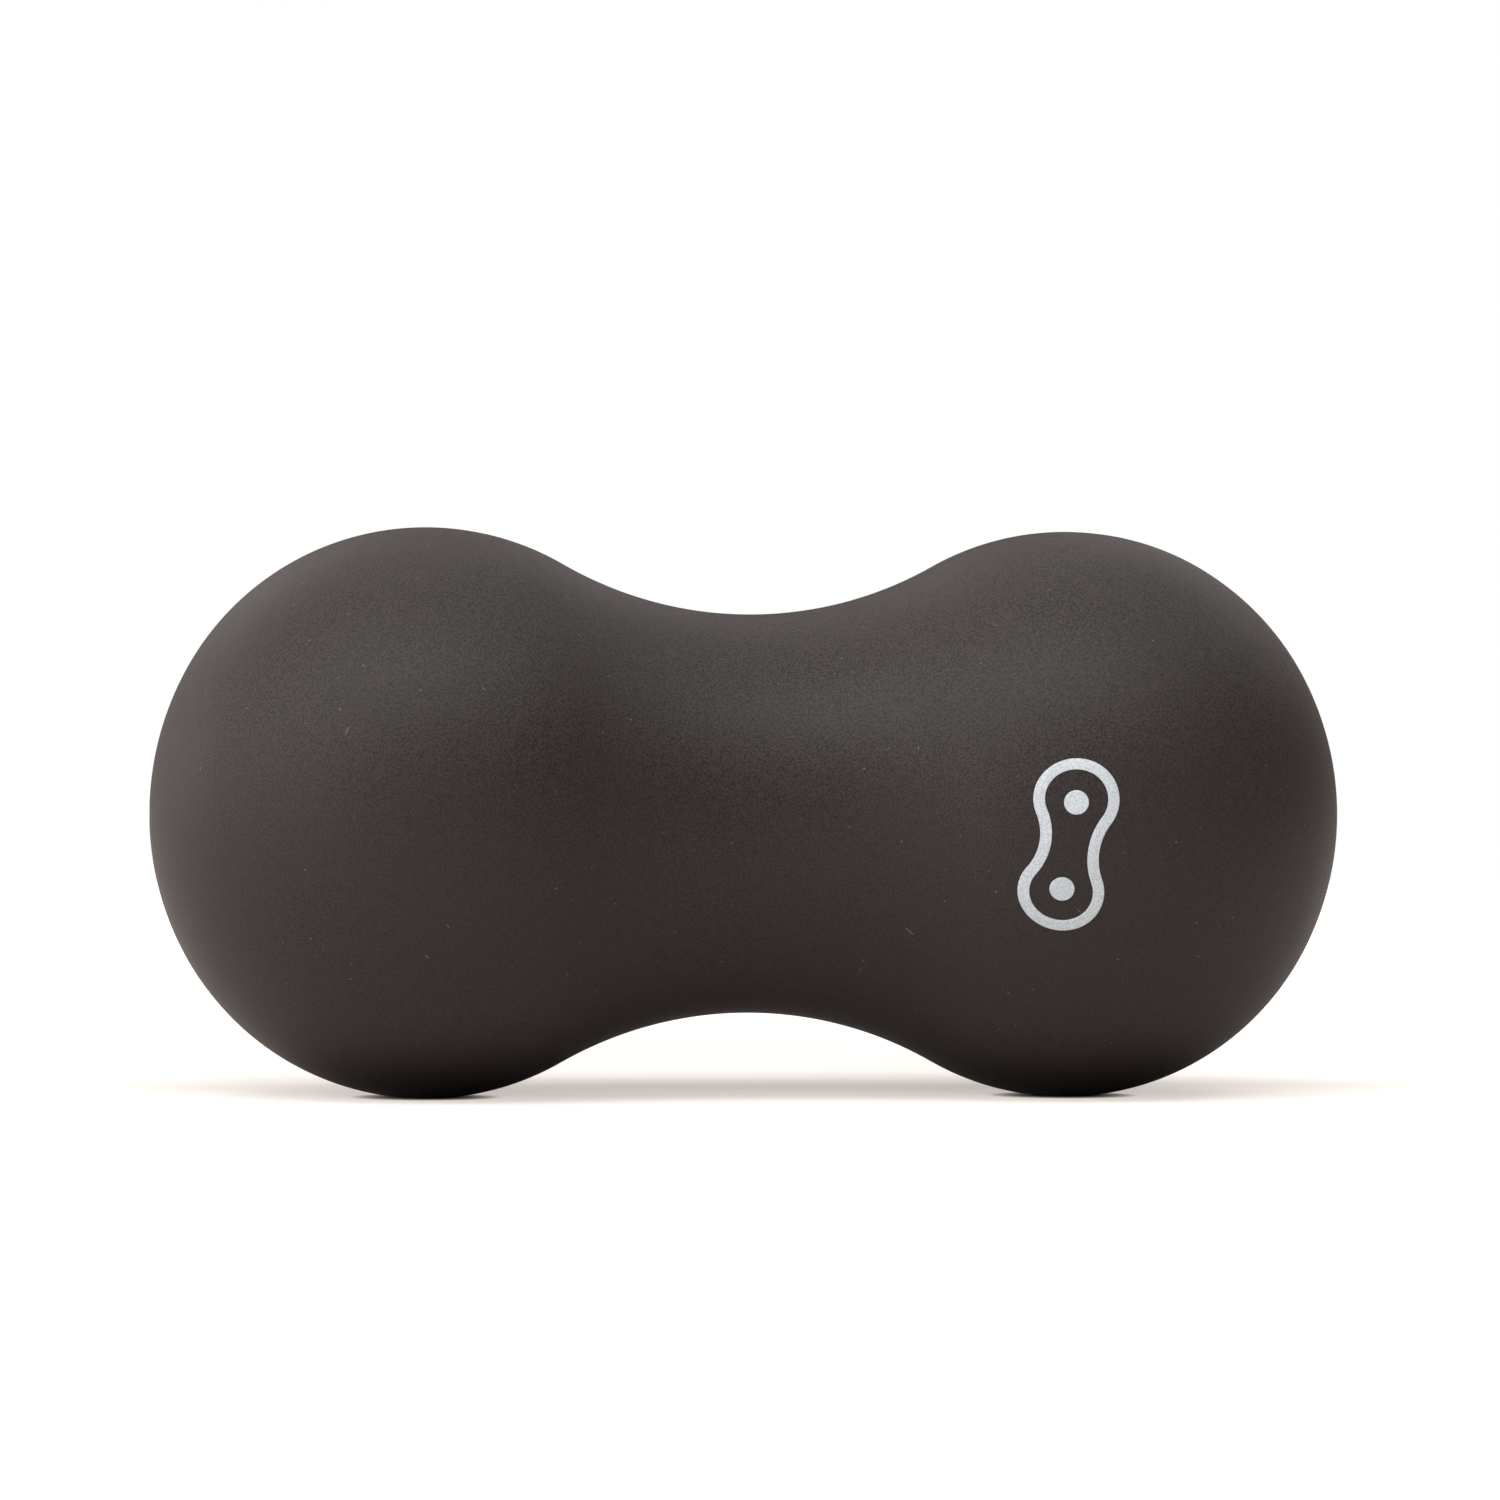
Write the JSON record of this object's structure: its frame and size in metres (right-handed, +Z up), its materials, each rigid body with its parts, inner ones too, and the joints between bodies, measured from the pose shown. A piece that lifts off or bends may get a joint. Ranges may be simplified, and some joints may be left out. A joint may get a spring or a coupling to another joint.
{
  "type": "massage ball",
  "caption": "Waisted double massage ball lying on its side: firm core, matte silicone skin, groove around the middle for the spine.",
  "frame": {"origin": "middle of the ball's footprint, on the plane it rests on, under the waist", "axes": "+X along the long axis towards the lobe that carries the mark, -Y out of the front that the mark faces, +Z up"},
  "size_m": [0.13, 0.0623, 0.0619],
  "materials": {
    "silicone_skin": "matte, very fine eroded grain, warm dark grey",
    "firm_core": "plain moulded, near black, hidden inside",
    "printed_ink": "thin pale grey silicone ink"
  },
  "bodies": {
    "root": {"front_skin_half": "silicone_skin", "back_skin_half": "silicone_skin", "core": "firm_core", "mark_outline": "printed_ink", "upper_mark_dot": "printed_ink", "lower_mark_dot": "printed_ink"}
  },
  "joints": []
}
